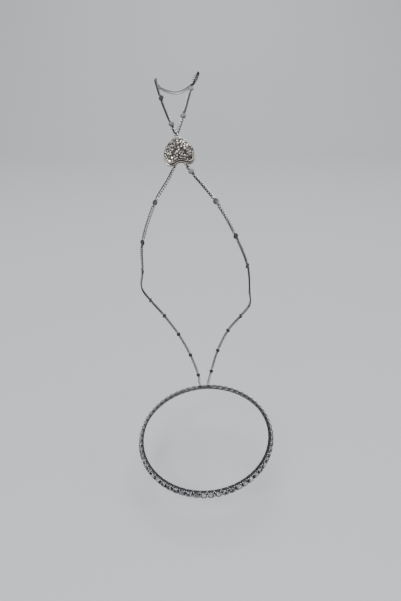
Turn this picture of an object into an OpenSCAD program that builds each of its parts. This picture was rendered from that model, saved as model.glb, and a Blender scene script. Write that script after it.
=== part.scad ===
// Hand chain bracelet: a puffed heart of small stones on the back of the hand, a fine chain from its
// tip round the middle finger, two chains from its lobes round the wrist, and a band of square box
// settings round the wrist that shares its clasp with the two chains.
// Lengths are millimetres. +Z is up along the forearm, +Y runs from the back of the hand to the palm,
// and +X is to the right as the back of the hand is seen. The origin lies between the two webs of the
// middle finger, where the finger chain is held.

/* [Heart] */
// Width of the heart across its two lobes
heart_width = 10.8; // [10.4:0.1:11.6]
// Height of the heart from its tip to the ends of its lobes
heart_height = 10.6; // [10.2:0.1:11.2]
// Height of the rim above the heart's flat back
rim_height = 1.85; // [1.6:0.05:2]
// Rise of the stone bed from its edge to its middle
dome_rise = 1.2; // [0.8:0.1:1.5]
// Angle by which the worn heart leans back from flat
heart_lean = 47; // [40:1:55]
// Turn of the worn heart in its own plane
heart_turn = 8; // [0:1:10]

/* [Small stones] */
// Diameter of a small stone
small_stone = 0.8; // [0.7:0.05:0.8]
// Distance between the centres of two small stones
small_pitch = 0.88; // [0.88:0.01:1]

/* [Wrist band] */
// Radius of the band to the middle of its settings
band_radius = 29.9; // [29.6:0.1:31]
// Number of settings in the band, without the clasp
band_cells = 60; // [54:1:60]
// Distance between two settings along the band
cell_pitch = 3; // [2.95:0.01:3]
// Length of one setting along the band
cell_length = 2.7; // [2.5:0.05:2.7]
// Height of one setting across the band
cell_height = 2.6; // [2.6:0.05:3]
// Depth of one setting from the wrist to its face
cell_depth = 1.5; // [1.5:0.05:1.8]
// Angle by which the settings' faces tip up, as on a flaring wrist
cell_tilt = 25; // [15:1:30]
// Diameter of a band stone
band_stone = 2.3; // [2.1:0.05:2.35]

/* [Chain] */
// Width of the chain's flat side
chain_width = 1.3; // [1:0.05:1.4]
// Thickness of the chain
chain_thickness = 0.6; // [0.4:0.05:0.6]
// Diameter of a flat round plate
plate_size = 2; // [1.7:0.05:2.1]

/* [Jump rings] */
// Radius of a jump ring to the middle of its wire
ring_radius = 0.62; // [0.6:0.01:0.66]
// Radius of a jump ring's wire
ring_wire = 0.15; // [0.12:0.01:0.16]
// Radius of a soldered loop to the middle of its wire
loop_radius = 0.5; // [0.5:0.01:0.54]
// Radius of a soldered loop's wire
loop_wire = 0.17; // [0.14:0.01:0.17]

/* [Hidden] */

// Places of the heart's back and of the band's centre in the worn piece
HEART_AT = [1.6, -23.2, -24.1];
BAND_AT = [11.4, -19.8, -149.9];
// The band hangs lower at the front and a little lower on the left
BAND_LEAN = 10.4;
BAND_ROLL = -4.3;

ROUND = 32;
ARC_ROUND = 96;
PRONG_ROUND = 16;
OUTLINE_STEPS = 48;
EDGE_SLACK = 0.001;
STONE_SIDES = 8;

// The heart's walls: share of the outline's size, height as a share of the rim's
HEART_WALLS = [
    [0.97, 0], [1, 0.07], [1, 0.4], [0.945, 0.46], [0.945, 0.56], [0.985, 0.62], [0.985, 0.93],
    [0.97, 1], [0.94, 1]];
BED_SHARE = 0.925;
BED_DEPTH = 0.25;
BED_ROWS = [1, 0.84, 0.67, 0.5, 0.33, 0.16];

// Rows of small stones: the first row's distance from the outline, how near to the outline's middle the
// rest may come, and the steps in which they look for room
FIRST_ROW_INSET = 0.86;
LAST_ROW_INSET = 4.6;
ROW_STEP = 0.05;
TURN_STEP = 2;

// Soldered loops: how far a loop's middle stands off its edge, and each loop's place across the heart
// and towards its tip as a share of its height
LOOP_LEVEL = 0.45;
LOOP_PROUD = 0.34;
TIP_LOOP = [0, 0.5];
LEFT_LOOP = [-1.8, -0.47];
RIGHT_LOOP = [1.9, -0.475];

// Directions in the heart's plane in which its jump rings are pulled
TIP_PULL = 90;
LEFT_PULL = 240;
RIGHT_PULL = 291;
// The two ends of the finger chain: how far each leans from the tip ring's pull, and where it hangs
// round the ring from its far side
RIGHT_END_LEAN = -10;
LEFT_END_LEAN = 26;
RIGHT_END_HOOK = -35;
LEFT_END_HOOK = 35;

// A stone's rings: share of its radius, height as a share of its diameter, turn in half facets
SMALL_CUT = [[0.5, -0.2, 1], [1, 0, 1], [1, 0.05, 1], [0.55, 0.28, 0]];
BAND_CUT = [[0.08, -0.36, 1], [1, 0, 1], [1, 0.03, 1], [0.56, 0.17, 0]];
SMALL_STONE_LIFT = 0.32;
SEAT_STEP = 0.6;
BAND_STONE_LIFT = 0.15;

SEAT_RADIUS = 1.05;
SEAT_DEPTH = 0.8;
PRONG_RADIUS = 0.2;
PRONG_RISE = 0.3;
PRONG_EDGE = 0.22;
LUG_HEIGHT = 0.9;
LUG_THICKNESS = 0.3;
LUG_REACH = 0.6;
LUG_BACK = 0.15;
LUG_CLEARANCE = 0.18;
CLASP_GAP = 0.3;
CLASP_CHAMFER = 0.3;
CLASP_LOOP_TURN = 4;
// How far a cut or a joined piece reaches past the face that it meets
OVERLAP = 0.1;

cell_turn = cell_pitch / band_radius * 180 / PI;
clasp_turn = 360 - band_cells * cell_turn;
back_radius = band_radius - cell_depth / 2;
END_GAP = 0.3;
// Spacing of a strand's rings, and the share of a plate's half at which it has one more ring
FINGER_SPACING = 2.4;
PLATE_STEP = 0.6;
CURVE_STEP = 0.02;
SIDE_SPACING = 3.6;

// Routes of the chains. Each row: place x, y, z, facing x, y, z, and 1 where a round plate sits
FINGER_ROUTE = [
    [3, -14.5, -13, 0, -0.7, 0.7, 1],
    [5.5, -3.5, -4.5, 0, -0.75, 0.65, 1],
    [7.6, 1, 0.5, 0.5, -0.4, 0.6, 0],
    [8.2, 3.6, 0.6, 0.8, 0, 0.4, 0],
    [6.5, 6.5, -2.5, 0.8, 0.4, -0.4, 1],
    [0, 8.5, -6, 0, 0.65, -0.75, 0],
    [-7, 5, -4, -0.9, 0.3, -0.3, 1],
    [-7.5, 1, -1.5, -0.7, -0.5, 0.5, 0],
    [-5, -7.5, -7.5, -0.5, -0.6, 0.6, 1],
    [-1, -17, -15.5, 0, -0.7, 0.7, 1]];
RIGHT_ROUTE = [
    [5.9, -29.35, -29.35, 0, -0.7, 0.7, 1],
    [14, -37.5, -37.5, 0.2, -0.8, 0.6, 1],
    [21, -34.5, -50, 0.6, -0.8, 0.2, 1],
    [26, -30, -62.5, 0.8, -0.6, 0, 1],
    [28, -23, -75.5, 0.9, -0.4, 0, 1],
    [29.5, -13, -86, 1, 0.2, 0, 1],
    [27, -3, -96.5, 0.8, 0.6, 0, 1],
    [22, 4.5, -108, 0.5, 0.9, 0, 1],
    [17.5, 8.5, -121.5, 0.3, 1, 0, 1],
    [14.5, 10.5, -135, 0.1, 1, 0, 1]];
LEFT_ROUTE = [
    [-1.5, -31, -31.5, -0.5, -0.7, 0.5, 0],
    [-6, -35, -38.5, -0.7, -0.7, 0.2, 1],
    [-11, -34, -52.5, -0.7, -0.7, 0, 1],
    [-12.5, -27, -65.5, -0.8, -0.6, 0, 1],
    [-14.5, -17.5, -76.5, -0.9, -0.2, 0, 1],
    [-12.5, -7, -87, -1, 0.4, 0, 1],
    [-7.5, 1, -98.5, -0.7, 0.7, 0, 1],
    [-1.5, 6, -111, -0.5, 0.9, 0, 1],
    [4, 9, -124.5, -0.3, 1, 0, 1],
    [7.9, 10.5, -137.3, -0.1, 1, 0, 1]];

function unit(v) = v / norm(v);
function turn_x(p, a) = [p.x, p.y * cos(a) - p.z * sin(a), p.y * sin(a) + p.z * cos(a)];
function turn_y(p, a) = [p.x * cos(a) + p.z * sin(a), p.y, p.z * cos(a) - p.x * sin(a)];
function turn_z(p, a) = [p.x * cos(a) - p.y * sin(a), p.x * sin(a) + p.y * cos(a), p.z];

// Place in the worn piece of a point given in the heart's or in the band's own frame
function on_heart(p) = HEART_AT + turn_x(turn_z(p, heart_turn), heart_lean);
function on_band(p) = BAND_AT + turn_y(turn_x(p, BAND_LEAN), BAND_ROLL);

// The heart's outline, tip towards +Y, from a closed curve
function heart_curve(t) = [
    0.91 * sin(t) - 0.09 * sin(3 * t),
    -(13 * cos(t) - 2.8 * cos(2 * t) - 1.4 * cos(3 * t) - 0.5 * cos(4 * t))];
curve_tops = [for (i = [0 : OUTLINE_STEPS - 1]) heart_curve(i * 360 / OUTLINE_STEPS).y];
curve_middle = (max(curve_tops) + min(curve_tops)) / 2;
curve_half = (max(curve_tops) - min(curve_tops)) / 2;
function outline_at(t) = let (p = heart_curve(t))
    [p.x * heart_width / 2, (p.y - curve_middle) / curve_half * heart_height / 2];
heart_outline = [for (i = [0 : OUTLINE_STEPS - 1]) outline_at(i * 360 / OUTLINE_STEPS)];

// Point inside the outline, at a distance from it
function inset_at(t, inset) =
    let (along = unit(outline_at(t + TURN_STEP) - outline_at(t - TURN_STEP)))
    outline_at(t) + inset * [-along.y, along.x];

// Share of the outline's size at which the outline passes through a point
function share_at(p) = max([for (i = [0 : OUTLINE_STEPS - 1])
    let (a = heart_outline[i], b = heart_outline[(i + 1) % OUTLINE_STEPS], edge = b - a)
    let (share = cross(p, edge) / cross(a, edge))
    let (along = share > 0 ? (p / share - a) * edge / (edge * edge) : -1)
    along >= -EDGE_SLACK && along <= 1 + EDGE_SLACK ? share : 0]);

// Height of the stone bed above the heart's back
function bed_height(share) = rim_height - BED_DEPTH + dome_rise * (1 - pow(share / BED_SHARE, 2));
function bed_at(p) = bed_height(share_at(p));

// Closed skin over rings of points that follow each other, with a flat or pointed end on both sides
function skin_faces(rings, sides) = concat(
    [for (r = [0 : rings - 2], s = [0 : sides - 1])
        [r * sides + s, (r + 1) * sides + s, (r + 1) * sides + (s + 1) % sides]],
    [for (r = [0 : rings - 2], s = [0 : sides - 1])
        [r * sides + s, (r + 1) * sides + (s + 1) % sides, r * sides + (s + 1) % sides]],
    [[for (s = [0 : sides - 1]) s]],
    [[for (s = [sides - 1 : -1 : 0]) (rings - 1) * sides + s]]);
function shifted(faces, first) = [for (f = faces) [for (v = f) v + first]];

heart_rings = concat(
    [for (w = HEART_WALLS) [w[0], w[1] * rim_height]],
    [for (r = BED_ROWS) [r * BED_SHARE, bed_height(r * BED_SHARE)]]);

// Soldered loop in a plane, and a jump ring that hangs in it and is pulled towards an angle
module wire_ring(radius, wire) {
    rotate_extrude($fn = ROUND) translate([radius, 0]) circle(r = wire, $fn = ROUND);
}

module on_heart_place() {
    translate(HEART_AT) rotate([heart_lean, 0, 0]) rotate([0, 0, heart_turn]) children();
}

module on_band_place() {
    translate(BAND_AT) rotate([0, BAND_ROLL, 0]) rotate([BAND_LEAN, 0, 0]) children();
}

function loop_place(loop) = [loop.x, loop.y * heart_height + sign(loop.y) * LOOP_PROUD, LOOP_LEVEL];

// End of a chain that hangs in a jump ring of the heart, with a lean from the ring's pull and a turn
// round the ring from its far side
function pulled_end(loop, pull, lean = 0, hook = 0) =
    let (out = [cos(pull), sin(pull), 0], away = [cos(pull + lean), sin(pull + lean), 0])
    on_heart(loop_place(loop) + ring_radius * (out + cos(hook) * out + [0, 0, sin(hook)])
        + (ring_wire + END_GAP) * away);

module heart_ring(loop, pull) {
    color("silver") on_heart_place() translate(loop_place(loop)) rotate([0, 0, pull])
        translate([ring_radius, 0, 0]) rotate([90, 0, 0]) wire_ring(ring_radius, ring_wire);
}

module heart_body() {
    color("silver") on_heart_place() union() {
        polyhedron(
            points = [for (r = heart_rings, p = heart_outline) [p.x * r[0], p.y * r[0], r[1]]],
            faces = skin_faces(len(heart_rings), OUTLINE_STEPS), convexity = 6);
        for (loop = [TIP_LOOP, LEFT_LOOP, RIGHT_LOOP])
            translate(loop_place(loop)) wire_ring(loop_radius, loop_wire);
    }
}

// Points of one cut stone, from its seat, the direction of its table and its cut
function stone_points(at, out, size, cut) =
    let (side = unit(cross(out, abs(out.z) > 0.9 ? [0, 1, 0] : [0, 0, 1])), up = cross(out, side))
    [for (c = cut, s = [0 : STONE_SIDES - 1])
        let (a = (s + c[2] / 2) * 360 / STONE_SIDES)
        at + c[1] * size * out + c[0] * size / 2 * (cos(a) * side + sin(a) * up)];

// A field of stones: each seat holds a place and the direction of the table
module stone_field(seats, size, cut) {
    points_each = len(cut) * STONE_SIDES;
    polyhedron(
        points = [for (s = seats) each stone_points(s[0], s[1], size, cut)],
        faces = [for (i = [0 : len(seats) - 1]) each
            shifted(skin_faces(len(cut), STONE_SIDES), i * points_each)],
        convexity = 4);
}

// The first row of stones follows the outline at even steps
first_line = [for (i = [0 : OUTLINE_STEPS - 1]) inset_at(i * 360 / OUTLINE_STEPS, FIRST_ROW_INSET)];
first_steps = [for (i = [0 : OUTLINE_STEPS - 1]) norm(first_line[(i + 1) % OUTLINE_STEPS] - first_line[i])];
function sum_to(list, n) = n < 1 ? 0 : list[n - 1] + sum_to(list, n - 1);
first_marks = [for (i = [0 : OUTLINE_STEPS]) sum_to(first_steps, i)];
first_count = 2 * floor(first_marks[OUTLINE_STEPS] / small_pitch / 2);
function along_first_row(d) =
    let (i = max([for (k = [0 : OUTLINE_STEPS - 1]) first_marks[k] <= d ? k : 0]))
    let (f = (d - first_marks[i]) / first_steps[i])
    first_line[i] * (1 - f) + first_line[(i + 1) % OUTLINE_STEPS] * f;
first_row = [for (i = [0 : first_count - 1]) along_first_row(i * first_marks[OUTLINE_STEPS] / first_count)];

// Then stones are set where there is room, in mirrored pairs from the rim to the middle
function room_at(p, stones, reach) = min([for (q = stones) norm(p - q)]) > reach;
function inner_spots() = [for (inset = [FIRST_ROW_INSET : ROW_STEP : LAST_ROW_INSET])
    for (t = [180 : -TURN_STEP : 0])
        let (p = inset_at(t, inset))
        if ((p.x < EDGE_SLACK || p.x > small_pitch / 2) && room_at(p, first_row, small_pitch)
            && room_at(p, heart_outline, inset - ROW_STEP / 2)) p];
function pair_of(p) = p.x < EDGE_SLACK ? [[0, p.y]] : [p, [-p.x, p.y]];
function with_spots(stones, spots, i = 0) = i == len(spots) ? stones
    : with_spots(room_at(spots[i], stones, small_pitch) ? concat(stones, pair_of(spots[i])) : stones,
        spots, i + 1);

function small_seat(p) =
    let (dx = bed_at(p + [SEAT_STEP, 0]) - bed_at(p - [SEAT_STEP, 0]),
        dy = bed_at(p + [0, SEAT_STEP]) - bed_at(p - [0, SEAT_STEP]))
    let (out = unit([-dx, -dy, 2 * SEAT_STEP]))
    [[p.x, p.y, bed_at(p)] + SMALL_STONE_LIFT * out, out];

module heart_stones() {
    color("gainsboro") on_heart_place() stone_field(
        [for (p = with_spots(first_row, inner_spots())) small_seat(p)], small_stone, SMALL_CUT);
}

module tip_ring() {
    heart_ring(TIP_LOOP, TIP_PULL);
}

module lobe_ring_left() {
    heart_ring(LEFT_LOOP, LEFT_PULL);
}

module lobe_ring_right() {
    heart_ring(RIGHT_LOOP, RIGHT_PULL);
}

// Smooth curve through a route's places
function place_on(route, i) = let (r = route[max(0, min(len(route) - 1, i))]) [r[0], r[1], r[2]];
function facing_on(route, i) = let (r = route[min(len(route) - 1, i)]) unit([r[3], r[4], r[5]]);
function slope_on(route, i) =
    let (back = place_on(route, i) - place_on(route, i - 1))
    let (ahead = place_on(route, i + 1) - place_on(route, i))
    (back + ahead) / (norm(back) + norm(ahead));
function curve_at(route, u) =
    let (i = min(floor(u), len(route) - 2), f = u - i, a = place_on(route, i), b = place_on(route, i + 1))
    let (long = norm(b - a), ease = f * f * (3 - 2 * f))
    a * (1 - ease) + b * ease
        + long * f * (1 - f) * ((1 - f) * slope_on(route, i) - f * slope_on(route, i + 1));

// Half width of the strand at a distance from a round plate's middle
plate_half = plate_size / 2;
chain_half = chain_width / 2;
plate_edge = sqrt(plate_half * plate_half - chain_half * chain_half);
plate_marks = [0, PLATE_STEP * plate_edge, plate_edge];
function half_width(d) = d < plate_edge ? sqrt(plate_half * plate_half - d * d) : chain_half;

// Rings between two places of a route: each holds a position on the curve and a half width
function stretch_rings(route, i, spacing) =
    let (long = norm(place_on(route, i + 1) - place_on(route, i)))
    let (first = route[i][6] == 1, last = route[i + 1][6] == 1)
    let (start = first ? plate_edge : 0, end = last ? plate_edge : 0)
    let (middles = max(1, round((long - start - end) / spacing) - 1))
    concat(
        first ? [for (d = plate_marks) [i + d / long, half_width(d)]] : [[i, chain_half]],
        [for (k = [1 : middles]) [i + (start + (long - start - end) * k / (middles + 1)) / long, chain_half]],
        last ? [for (k = [2 : -1 : 1]) [i + 1 - plate_marks[k] / long, half_width(plate_marks[k])]] : []);
function chain_rings(route, spacing) = concat(
    [for (i = [0 : len(route) - 2]) each stretch_rings(route, i, spacing)],
    [[len(route) - 1, chain_half]]);

// Flat eight-sided section: share of the half width, share of the half thickness
CHAIN_SECTION = [
    [1, -0.45], [1, 0.45], [0.75, 1], [-0.75, 1], [-1, 0.45], [-1, -0.45], [-0.75, -1], [0.75, -1]];

function ring_points(route, ring) =
    let (u = ring[0], top = len(route) - 1)
    let (at = curve_at(route, u))
    let (along = unit(curve_at(route, min(u + CURVE_STEP, top)) - curve_at(route, max(u - CURVE_STEP, 0))))
    let (i = min(floor(u), top - 1), f = u - i)
    let (facing = facing_on(route, i) * (1 - f) + facing_on(route, i + 1) * f)
    let (side = unit(cross(facing, along)), out = cross(along, side))
    [for (c = CHAIN_SECTION) at + c[0] * ring[1] * side + c[1] * chain_thickness / 2 * out];

// One strand as one closed flat tube that swells at each round plate
module strand(route, spacing) {
    rings = chain_rings(route, spacing);
    color("silver") polyhedron(
        points = [for (r = rings) each ring_points(route, r)],
        faces = skin_faces(len(rings), len(CHAIN_SECTION)), convexity = 10);
}

// A route's end at a jump ring, facing as the next row does
function end_row(at, row) = [at.x, at.y, at.z, row[3], row[4], row[5], 0];
function whole_route(start, route, end) =
    concat([end_row(start, route[0])], route, [end_row(end, route[len(route) - 1])]);

module finger_chain() {
    strand(whole_route(pulled_end(TIP_LOOP, TIP_PULL, RIGHT_END_LEAN, RIGHT_END_HOOK), FINGER_ROUTE,
        pulled_end(TIP_LOOP, TIP_PULL, LEFT_END_LEAN, LEFT_END_HOOK)), FINGER_SPACING);
}

module side_chain_left() {
    strand(whole_route(pulled_end(LEFT_LOOP, LEFT_PULL), LEFT_ROUTE, clasp_end(1)), SIDE_SPACING);
}

module side_chain_right() {
    strand(whole_route(pulled_end(RIGHT_LOOP, RIGHT_PULL), RIGHT_ROUTE, clasp_end(-1)), SIDE_SPACING);
}

// Place of one setting: its own X runs along the band, Y up and Z away from the wrist
function cell_angle(i) = 90 + clasp_turn / 2 + (i + 0.5) * cell_turn;
function on_cell(angle, p) =
    let (q = turn_x(p, -cell_tilt)) turn_z([back_radius + q.z, q.x, q.y], angle);

module cell_place(angle) {
    rotate([0, 0, angle]) translate([back_radius, 0, 0]) rotate([90, 0, 90]) rotate([-cell_tilt, 0, 0])
        children();
}

// Tongue on one end of a setting and the slot that the next one's tongue enters
module lug() {
    translate([-OVERLAP, -LUG_HEIGHT / 2, LUG_BACK]) cube([LUG_REACH + OVERLAP, LUG_HEIGHT, LUG_THICKNESS]);
}

module lug_slot() {
    slot_depth = LUG_BACK + LUG_THICKNESS + LUG_CLEARANCE;
    translate([-OVERLAP, -LUG_HEIGHT / 2 - LUG_CLEARANCE, -OVERLAP])
        cube([LUG_REACH + OVERLAP, LUG_HEIGHT + 2 * LUG_CLEARANCE, slot_depth + OVERLAP]);
}

module setting() {
    prong_x = cell_length / 2 - PRONG_EDGE;
    prong_y = cell_height / 2 - PRONG_EDGE;
    difference() {
        union() {
            translate([-cell_length / 2, -cell_height / 2, 0])
                cube([cell_length, cell_height, cell_depth]);
            translate([cell_length / 2, 0, 0]) lug();
            for (x = [-prong_x, prong_x], y = [-prong_y, prong_y])
                translate([x, y, cell_depth / 2])
                    cylinder(r = PRONG_RADIUS, h = cell_depth / 2 + PRONG_RISE, $fn = PRONG_ROUND);
        }
        translate([0, 0, cell_depth - SEAT_DEPTH])
            cylinder(r = SEAT_RADIUS, h = SEAT_DEPTH + PRONG_RISE, $fn = ROUND);
        translate([-cell_length / 2, 0, 0]) lug_slot();
    }
}

module band_settings() {
    color("silver") on_band_place() for (i = [0 : band_cells - 1]) cell_place(cell_angle(i)) setting();
}

module band_stones() {
    lift = cell_depth + BAND_STONE_LIFT;
    color("gainsboro") on_band_place() stone_field(
        [for (i = [0 : band_cells - 1]) let (at = on_cell(cell_angle(i), [0, 0, lift]))
            [at, on_cell(cell_angle(i), [0, 0, lift + 1]) - at]],
        band_stone, BAND_CUT);
}

// Clasp body with a loop for each side chain on its upper edge; side is 1 to the left, -1 to the right
function clasp_loop(side) = on_cell(90 + side * CLASP_LOOP_TURN, [0, cell_height / 2, cell_depth / 2])
    + [0, 0, LOOP_PROUD];
function clasp_end(side) = on_band(clasp_loop(side) + [0, 0, 2 * ring_radius + ring_wire + END_GAP]);

module clasp_section() {
    c = CLASP_CHAMFER;
    d = cell_depth;
    h = cell_height / 2;
    polygon([[0, c - h], [c, -h], [d - c, -h], [d, c - h], [d, h - c], [d - c, h], [c, h], [0, h - c]]);
}

module band_clasp() {
    gap_turn = CLASP_GAP / band_radius * 180 / PI;
    body_turn = clasp_turn - gap_turn;
    color("silver") on_band_place() difference() {
        union() {
            rotate([0, 0, 90 - body_turn / 2])
                rotate_extrude(angle = body_turn, $fn = ARC_ROUND)
                    translate([back_radius, 0]) rotate(cell_tilt) clasp_section();
            cell_place(90 + body_turn / 2) lug();
            for (side = [-1, 1]) translate(clasp_loop(side)) rotate([0, 0, side * CLASP_LOOP_TURN])
                rotate([90, 0, 0]) wire_ring(loop_radius, loop_wire);
        }
        cell_place(90 - body_turn / 2) lug_slot();
    }
}

module clasp_ring(side) {
    color("silver") on_band_place() translate(clasp_loop(side) + [0, 0, ring_radius])
        rotate([0, 0, side * CLASP_LOOP_TURN]) rotate([0, 90, 0]) wire_ring(ring_radius, ring_wire);
}

module clasp_ring_left() {
    clasp_ring(1);
}

module clasp_ring_right() {
    clasp_ring(-1);
}

heart_body();
heart_stones();
tip_ring();
lobe_ring_left();
lobe_ring_right();
finger_chain();
side_chain_left();
side_chain_right();
band_settings();
band_stones();
band_clasp();
clasp_ring_left();
clasp_ring_right();
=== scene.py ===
"""Hand chain bracelet: a stone-set heart on plate chains, and a wrist band of round stones in box settings.

The chains, the heart and the band are modelled in millimetres as separate small pieces, copied along their
lines, joined, and brought to size where the frame has them.
"""

import math

import bmesh
import bpy
from bpy.props import FloatProperty, FloatVectorProperty, IntProperty, PointerProperty
from mathutils import Matrix, Vector, noise


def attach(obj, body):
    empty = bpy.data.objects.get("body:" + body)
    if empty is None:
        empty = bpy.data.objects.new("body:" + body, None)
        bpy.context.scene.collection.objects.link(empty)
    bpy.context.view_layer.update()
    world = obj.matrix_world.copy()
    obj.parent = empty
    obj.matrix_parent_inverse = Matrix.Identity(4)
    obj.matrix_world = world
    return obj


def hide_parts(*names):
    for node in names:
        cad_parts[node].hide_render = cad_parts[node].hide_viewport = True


bl_info = {
    "name": "Hand Chain Bracelet",
    "version": (1, 0, 0),
    "blender": (4, 5, 0),
    "location": "3D View > Sidebar > Hand Chain",
    "description": "Builds a heart of small stones, its plate chains and a wrist band of round stones",
    "category": "Object",
}

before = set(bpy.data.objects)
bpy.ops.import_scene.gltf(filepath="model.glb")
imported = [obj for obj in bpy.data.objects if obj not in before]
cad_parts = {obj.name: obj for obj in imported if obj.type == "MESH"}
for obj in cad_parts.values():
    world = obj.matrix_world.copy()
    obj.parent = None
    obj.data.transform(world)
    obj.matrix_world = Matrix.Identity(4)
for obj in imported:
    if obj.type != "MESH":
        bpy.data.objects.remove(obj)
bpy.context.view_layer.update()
BODY = "root"

# Pieces are modelled in millimetres, so that merges and bevels act at their usual sizes
MM = 1000.0
TO_METRES = Matrix.Scale(1 / MM, 4)

# Places in the worn piece, in millimetres
HEART_AT = Vector((1.6, -23.2, -24.1))
BAND_AT = Vector((11.4, -19.8, -149.9))

# Heart walls, from the back up: share of the outline's size, share of the rim's height
HEART_WALLS = [
    (0.97, 0.0), (1.0, 0.07), (1.0, 0.4), (0.945, 0.46), (0.945, 0.56), (0.985, 0.62), (0.985, 0.93),
    (0.97, 1.0), (0.94, 1.0)]
BED_SHARE = 0.925
BED_ROWS = [1, 0.93, 0.84, 0.75, 0.66, 0.57, 0.48, 0.39, 0.3, 0.21, 0.12, 0.04]

# Soldered loops: millimetres across the heart, and share of its height towards its tip
TIP_LOOP = (0.0, 0.5)
LEFT_LOOP = (-1.8, -0.47)
RIGHT_LOOP = (1.9, -0.475)

# How the chains pull at the rings in these loops, in degrees within the heart's plane, and how far round
# the tip's ring the two ends of the finger chain sit
TIP_PULL = 90
TIP_HOOKS = (-28, 33)
LEFT_PULL = 240
RIGHT_PULL = 291

# Routes of the chains in millimetres. Each row: place x, y, z, facing x, y, z, and 1 for a round plate
FINGER_ROUTE = [
    (3, -14.5, -13, 0, -0.7, 0.7, 1),
    (5.5, -3.5, -4.5, 0, -0.75, 0.65, 1),
    (7.6, 1, 0.5, 0.5, -0.4, 0.6, 0),
    (8.2, 3.6, 0.6, 0.8, 0, 0.4, 0),
    (6.5, 6.5, -2.5, 0.8, 0.4, -0.4, 1),
    (0, 8.5, -6, 0, 0.65, -0.75, 0),
    (-7, 5, -4, -0.9, 0.3, -0.3, 1),
    (-7.5, 1, -1.5, -0.7, -0.5, 0.5, 0),
    (-5, -7.5, -7.5, -0.5, -0.6, 0.6, 1),
    (-1, -17, -15.5, 0, -0.7, 0.7, 1)]
RIGHT_ROUTE = [
    (5.9, -29.35, -29.35, 0, -0.7, 0.7, 1),
    (14, -37.5, -37.5, 0.2, -0.8, 0.6, 1),
    (21, -34.5, -50, 0.6, -0.8, 0.2, 1),
    (26, -30, -62.5, 0.8, -0.6, 0, 1),
    (28, -23, -75.5, 0.9, -0.4, 0, 1),
    (29.5, -13, -86, 1, 0.2, 0, 1),
    (27, -3, -96.5, 0.8, 0.6, 0, 1),
    (22, 4.5, -108, 0.5, 0.9, 0, 1),
    (17.5, 8.5, -121.5, 0.3, 1, 0, 1),
    (14.5, 10.5, -135, 0.1, 1, 0, 1)]
LEFT_ROUTE = [
    (-1.5, -31, -31.5, -0.5, -0.7, 0.5, 0),
    (-6, -35, -38.5, -0.7, -0.7, 0.2, 1),
    (-11, -34, -52.5, -0.7, -0.7, 0, 1),
    (-12.5, -27, -65.5, -0.8, -0.6, 0, 1),
    (-14.5, -17.5, -76.5, -0.9, -0.2, 0, 1),
    (-12.5, -7, -87, -1, 0.4, 0, 1),
    (-7.5, 1, -98.5, -0.7, 0.7, 0, 1),
    (-1.5, 6, -111, -0.5, 0.9, 0, 1),
    (4, 9, -124.5, -0.3, 1, 0, 1),
    (7.9, 10.5, -137.3, -0.1, 1, 0, 1)]


def metres(name, description, default):
    return FloatProperty(name=name, description=description, default=default, unit="LENGTH", precision=5)


def degrees(name, description, default):
    return FloatProperty(name=name, description=description, default=math.radians(default), subtype="ANGLE")


def share(name, description, default):
    return FloatProperty(name=name, description=description, default=default, min=0.0, subtype="FACTOR")


def colour(name, description, default):
    return FloatVectorProperty(
        name=name, description=description, default=default, size=4, min=0.0, max=1.0, subtype="COLOR")


class HeartSizes(bpy.types.PropertyGroup):
    """Sizes of the heart, its loops and its small stones"""
    width: metres("Width", "Width of the heart across its two lobes", 0.0108)
    height: metres("Height", "Height of the heart from its tip to the ends of its lobes", 0.0106)
    rim: metres("Rim", "Height of the rim above the heart's flat back", 0.00185)
    bed_depth: metres("Bed depth", "Depth of the stone bed's edge under the rim", 0.00025)
    dome: metres("Dome", "Rise of the stone bed from its edge to its middle", 0.0012)
    lean: degrees("Lean", "Angle by which the worn heart leans back from flat", 47)
    turn: degrees("Turn", "Turn of the worn heart in its own plane", 8)
    stone: metres("Stone", "Diameter of a small stone", 0.00082)
    pitch: metres("Stone pitch", "Distance between the centres of two small stones", 0.00088)
    stone_lift: metres("Stone lift", "Height of a small stone's girdle above the bed", 0.0002)
    grain: metres("Grain", "Radius of a grain between the stones", 0.00014)
    first_row: metres("First row", "Distance of the first row of stones from the outline", 0.00086)
    loop: metres("Loop", "Radius of a soldered loop to the middle of its wire", 0.0005)
    loop_wire: metres("Loop wire", "Radius of a soldered loop's wire", 0.00017)
    loop_level: metres("Loop level", "Height of a loop above the heart's back", 0.00045)
    loop_proud: metres("Loop proud", "Distance of a loop's middle from the heart's edge", 0.00034)


class ChainSizes(bpy.types.PropertyGroup):
    """Sizes of the chains' links, their round plates and the jump rings"""
    pitch: metres("Link pitch", "Distance from one link to the next", 0.00095)
    width: metres("Link width", "Width of a link", 0.0014)
    wire: metres("Link wire", "Radius of a link's wire", 0.000175)
    slack: metres("Slack", "Room for a link in the next one's end", 0.00006)
    twist: degrees("Twist", "Twist of a link along its length", 128)
    flat: metres("Flat", "Half thickness to which the links are ground flat", 0.0003)
    plate: metres("Plate", "Diameter of a round plate", 0.002)
    plate_edge: metres("Plate edge", "Thickness of a round plate", 0.0004)
    lug: metres("Lug", "Radius of a plate's lug to the middle of its wire", 0.0004)
    lug_wire: metres("Lug wire", "Radius of a plate's lug wire", 0.0001)
    ring: metres("Ring", "Radius of a jump ring to the middle of its wire", 0.00062)
    ring_wire: metres("Ring wire", "Radius of a jump ring's wire", 0.00015)


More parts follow.
